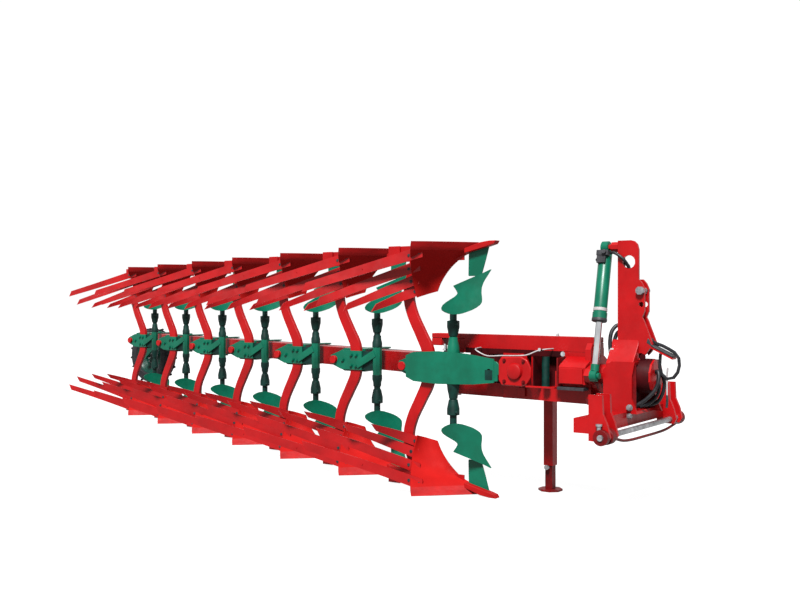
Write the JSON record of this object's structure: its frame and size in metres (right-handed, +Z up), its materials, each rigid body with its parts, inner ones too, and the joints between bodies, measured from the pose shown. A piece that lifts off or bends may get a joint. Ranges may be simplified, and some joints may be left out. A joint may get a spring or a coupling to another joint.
{
  "type": "reversible plough",
  "caption": "Mounted reversible plough with slatted mouldboards, skimmers, turnover headstock, parking stand and depth wheel.",
  "frame": {"origin": "middle of the object's box in plan, on the ground under the lower shares", "axes": "+X is the direction of travel, +Y is left, +Z is up"},
  "size_m": [8.4452, 3.2264, 1.836],
  "materials": {
    "red_paint": "gloss paint",
    "green_paint": "gloss paint",
    "bare_steel": "satin",
    "chrome": "polished",
    "rubber": "matt",
    "tyre": "matt",
    "rim_paint": "gloss paint"
  },
  "bodies": {
    "headstock": {"headstock": "red_paint", "cross_shaft": "bare_steel", "top_link_pin": "bare_steel", "supply_hose": "rubber"},
    "turnover_cylinder": {"turnover_cylinder": "green_paint"},
    "turnover_rod": {"turnover_rod": "chrome"},
    "front_frame": {"front_frame": "red_paint", "main_pivot_pin": "bare_steel", "width_barrel": "green_paint"},
    "stand_leg": {"stand_leg": "red_paint", "stand_pin": "bare_steel"},
    "width_rod": {"width_rod": "chrome"},
    "steering_link": {"steering_link": "red_paint"},
    "main_beam": {"main_beam": "red_paint"},
    "steering_rod": {"steering_rod": "bare_steel"},
    "wheel_arm": {"wheel_arm": "green_paint"},
    "wheel": {"wheel_rim": "rim_paint", "tyre": "tyre"},
    "station_1": {"bracket_1": "green_paint", "skimmers_1": "green_paint", "lower_leg_1": "red_paint", "upper_leg_1": "red_paint", "lower_body_1": "red_paint", "upper_body_1": "red_paint"},
    "station_2": {"bracket_2": "green_paint", "skimmers_2": "green_paint", "lower_leg_2": "red_paint", "upper_leg_2": "red_paint", "lower_body_2": "red_paint", "upper_body_2": "red_paint"},
    "station_3": {"bracket_3": "green_paint", "skimmers_3": "green_paint", "lower_leg_3": "red_paint", "upper_leg_3": "red_paint", "lower_body_3": "red_paint", "upper_body_3": "red_paint"},
    "station_4": {"bracket_4": "green_paint", "skimmers_4": "green_paint", "lower_leg_4": "red_paint", "upper_leg_4": "red_paint", "lower_body_4": "red_paint", "upper_body_4": "red_paint"},
    "station_5": {"bracket_5": "green_paint", "skimmers_5": "green_paint", "lower_leg_5": "red_paint", "upper_leg_5": "red_paint", "lower_body_5": "red_paint", "upper_body_5": "red_paint"},
    "station_6": {"bracket_6": "green_paint", "skimmers_6": "green_paint", "lower_leg_6": "red_paint", "upper_leg_6": "red_paint", "lower_body_6": "red_paint", "upper_body_6": "red_paint"},
    "station_7": {"bracket_7": "green_paint", "skimmers_7": "green_paint", "lower_leg_7": "red_paint", "upper_leg_7": "red_paint", "lower_body_7": "red_paint", "upper_body_7": "red_paint"}
  },
  "joints": [
    {"name": "turnover", "type": "hinge", "parent": "headstock", "child": "front_frame", "pos_m": [3.71056, -0.9422, 0.918], "axis": [1, 0, 0], "range_deg": [0, 180]},
    {"name": "cylinder_swing", "type": "hinge", "parent": "headstock", "child": "turnover_cylinder", "pos_m": [3.71056, -0.9422, 1.758], "axis": [1, 0, 0], "range_deg": [0, 12.74]},
    {"name": "cylinder_stroke", "type": "slide", "parent": "turnover_cylinder", "child": "turnover_rod", "axis": [0, 0.2206, 0.9754], "range_m": [0, 0.2112]},
    {"name": "stand_height", "type": "slide", "parent": "front_frame", "child": "stand_leg", "axis": [0, 0, 1], "range_m": [-0.25, 0]},
    {"name": "beam_swing", "type": "hinge", "parent": "front_frame", "child": "main_beam", "pos_m": [2.45402, -0.80427, 0.918], "axis": [0, 0, -1], "range_deg": [-1.5, 11]},
    {"name": "width_stroke", "type": "slide", "parent": "front_frame", "child": "width_rod", "axis": [1, 0, 0], "range_m": [-0.00421, 0.03091]},
    {"name": "steering_link_turn", "type": "hinge", "parent": "front_frame", "child": "steering_link", "pos_m": [2.94962, -1.00807, 0.918], "axis": [0, 0, -1], "range_deg": [-1.5, 11]},
    {"name": "station_1_turn", "type": "hinge", "parent": "main_beam", "child": "station_1", "pos_m": [2.34056, -0.7652, 0.918], "axis": [0, 0, -1], "range_deg": [-11, 1.5]},
    {"name": "station_2_turn", "type": "hinge", "parent": "main_beam", "child": "station_2", "pos_m": [1.39504, -0.43964, 0.918], "axis": [0, 0, -1], "range_deg": [-11, 1.5]},
    {"name": "station_3_turn", "type": "hinge", "parent": "main_beam", "child": "station_3", "pos_m": [0.44952, -0.11407, 0.918], "axis": [0, 0, -1], "range_deg": [-11, 1.5]},
    {"name": "station_4_turn", "type": "hinge", "parent": "main_beam", "child": "station_4", "pos_m": [-0.496, 0.2115, 0.918], "axis": [0, 0, -1], "range_deg": [-11, 1.5]},
    {"name": "station_5_turn", "type": "hinge", "parent": "main_beam", "child": "station_5", "pos_m": [-1.44152, 0.53707, 0.918], "axis": [0, 0, -1], "range_deg": [-11, 1.5]},
    {"name": "station_6_turn", "type": "hinge", "parent": "main_beam", "child": "station_6", "pos_m": [-2.38704, 0.86264, 0.918], "axis": [0, 0, -1], "range_deg": [-11, 1.5]},
    {"name": "station_7_turn", "type": "hinge", "parent": "main_beam", "child": "station_7", "pos_m": [-3.33255, 1.1882, 0.918], "axis": [0, 0, -1], "range_deg": [-11, 1.5]},
    {"name": "steering_rod_turn", "type": "hinge", "parent": "station_1", "child": "steering_rod", "pos_m": [2.34056, -0.6152, 0.918], "axis": [0, 0, -1], "range_deg": [-1.5, 11]},
    {"name": "wheel_arm_lift", "type": "hinge", "parent": "main_beam", "child": "wheel_arm", "pos_m": [-3.45255, 1.1882, 0.918], "axis": [0, 1, 0], "range_deg": [0, 60]},
    {"name": "wheel_spin", "type": "hinge", "parent": "wheel_arm", "child": "wheel", "pos_m": [-3.85255, 1.5132, 0.688], "axis": [0, 1, 0], "continuous": true}
  ],
  "couplings": [
    {"joint": "cylinder_stroke", "follows": "cylinder_swing", "m_per_rad": 0.94983},
    {"joint": "width_stroke", "follows": "beam_swing", "m_per_rad": 0.161},
    {"joint": "steering_link_turn", "follows": "beam_swing", "ratio": 1},
    {"joint": "station_1_turn", "follows": "beam_swing", "ratio": -1},
    {"joint": "station_2_turn", "follows": "beam_swing", "ratio": -1},
    {"joint": "station_3_turn", "follows": "beam_swing", "ratio": -1},
    {"joint": "station_4_turn", "follows": "beam_swing", "ratio": -1},
    {"joint": "station_5_turn", "follows": "beam_swing", "ratio": -1},
    {"joint": "station_6_turn", "follows": "beam_swing", "ratio": -1},
    {"joint": "station_7_turn", "follows": "beam_swing", "ratio": -1},
    {"joint": "steering_rod_turn", "follows": "beam_swing", "ratio": 1}
  ]
}
